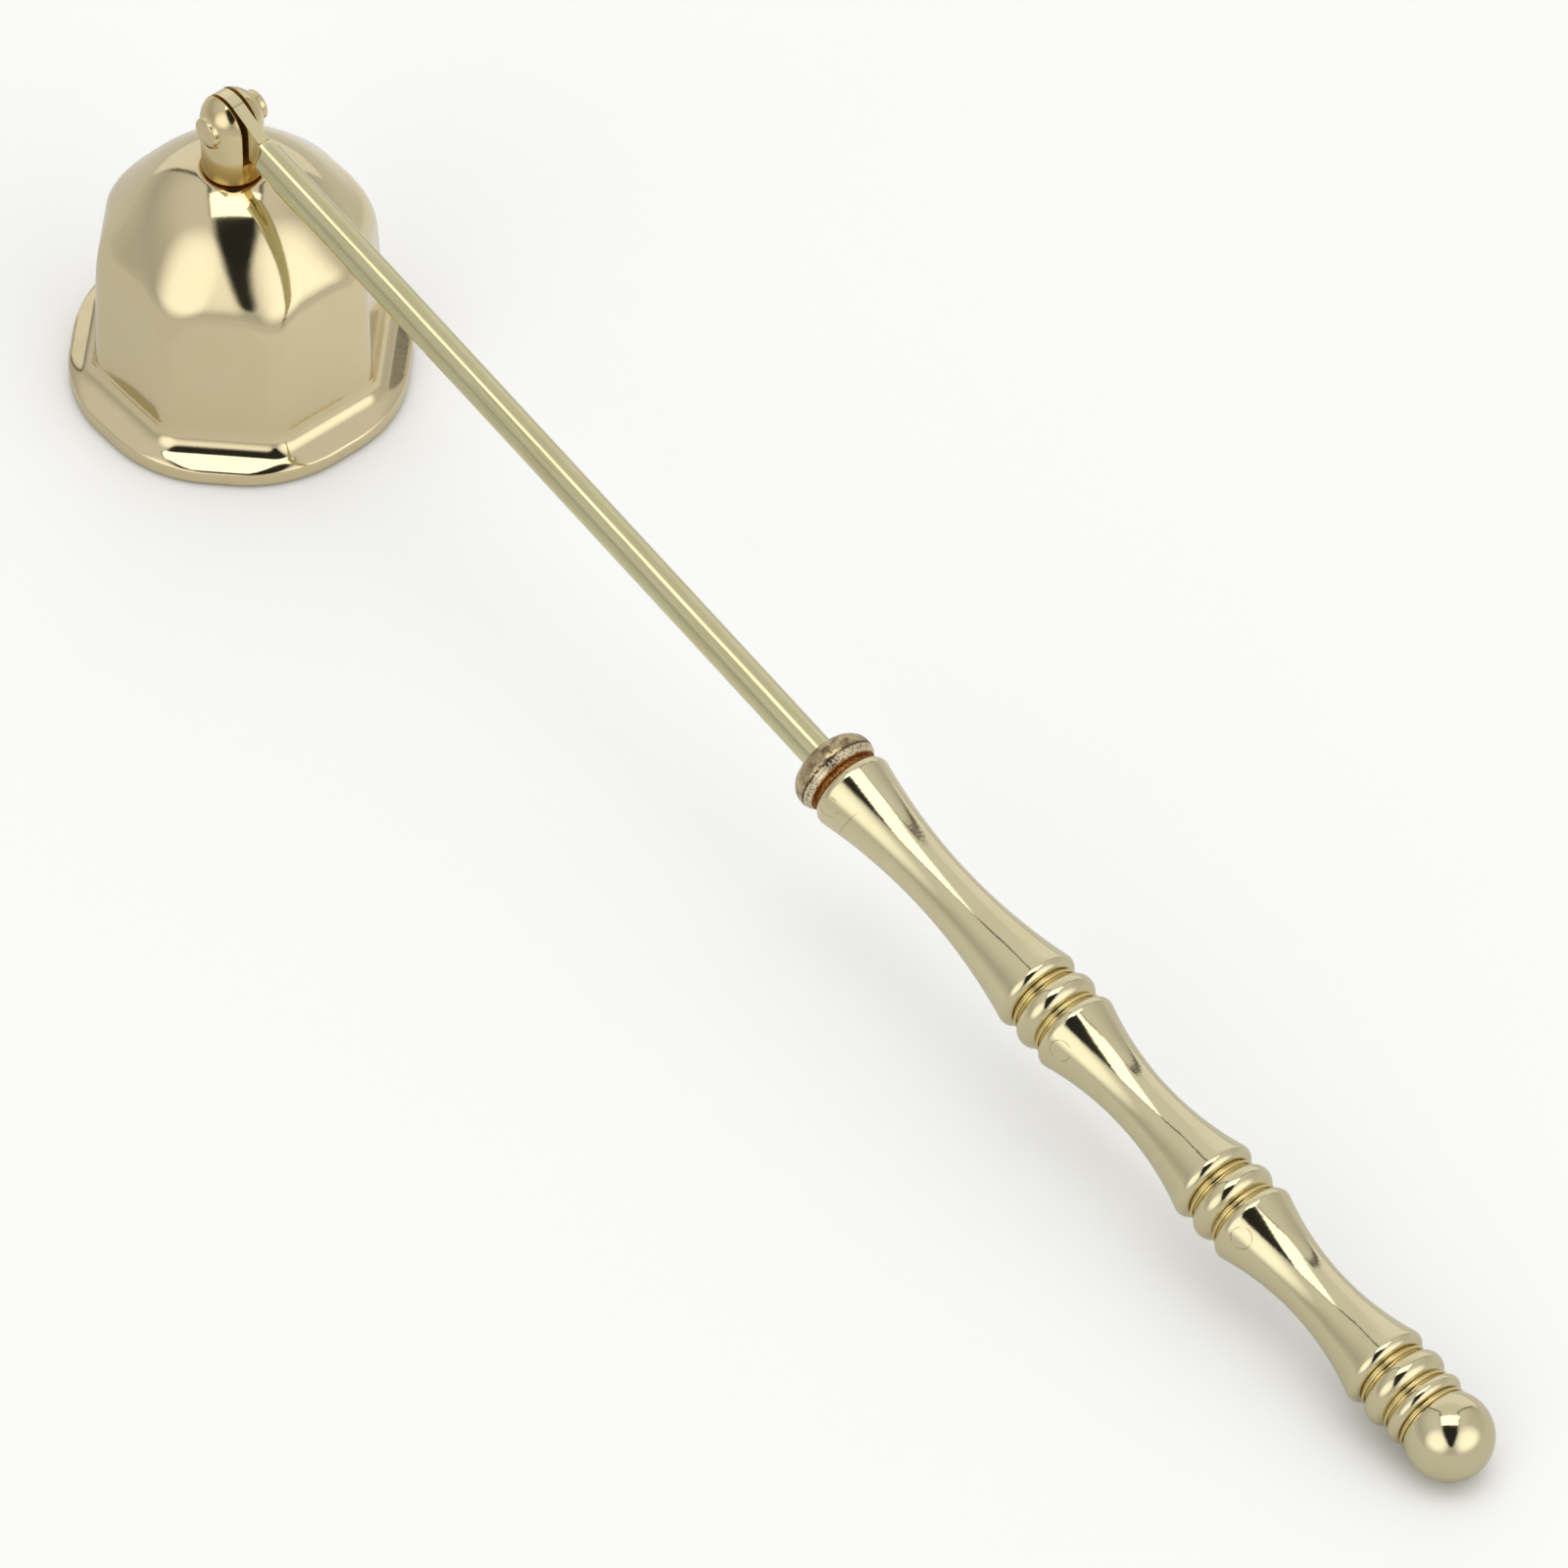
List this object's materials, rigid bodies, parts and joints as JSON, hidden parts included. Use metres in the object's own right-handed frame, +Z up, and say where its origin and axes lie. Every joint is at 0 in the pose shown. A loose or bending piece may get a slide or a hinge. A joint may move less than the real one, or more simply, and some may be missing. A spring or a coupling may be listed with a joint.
{
  "type": "candle snuffer",
  "caption": "Candle snuffer: octagonal bell with a round dome on a riveted clevis hinge, with a slim rod and a turned handle of waisted grips and beads ending in a ball.",
  "frame": {"origin": "centre of the bell's mouth, in the plane of its rim, which is the table the snuffer stands on", "axes": "+Z up the bell's axis, +X along the table from the bell towards the ball at the handle's end"},
  "size_m": [0.2388, 0.0398, 0.0443],
  "materials": {
    "plated_brass": "polished pale gold plating",
    "spacer_brass": "polished, deeper gold",
    "drawn_brass": "drawn and polished",
    "tarnished_brass": "worn and tarnished",
    "fixing_steel": "zinc plated"
  },
  "bodies": {
    "bell": {"bell": "plated_brass", "crown_screw": "fixing_steel", "crown_washer": "fixing_steel", "clevis_post": "plated_brass", "hinge_rivet": "plated_brass"},
    "handle": {"rod": "drawn_brass", "collar": "tarnished_brass", "upper_grip": "plated_brass", "upper_bead": "plated_brass", "middle_grip": "plated_brass", "middle_bead": "plated_brass", "lower_grip": "plated_brass", "end_bead": "plated_brass", "finial_flange": "plated_brass", "spacer_rings": "spacer_brass", "ball_finial": "plated_brass"}
  },
  "joints": [
    {"name": "handle_hinge", "type": "hinge", "parent": "bell", "child": "handle", "pos_m": [0, 0, 0.04084], "axis": [0, -1, 0], "range_deg": [0, 198.9]}
  ]
}
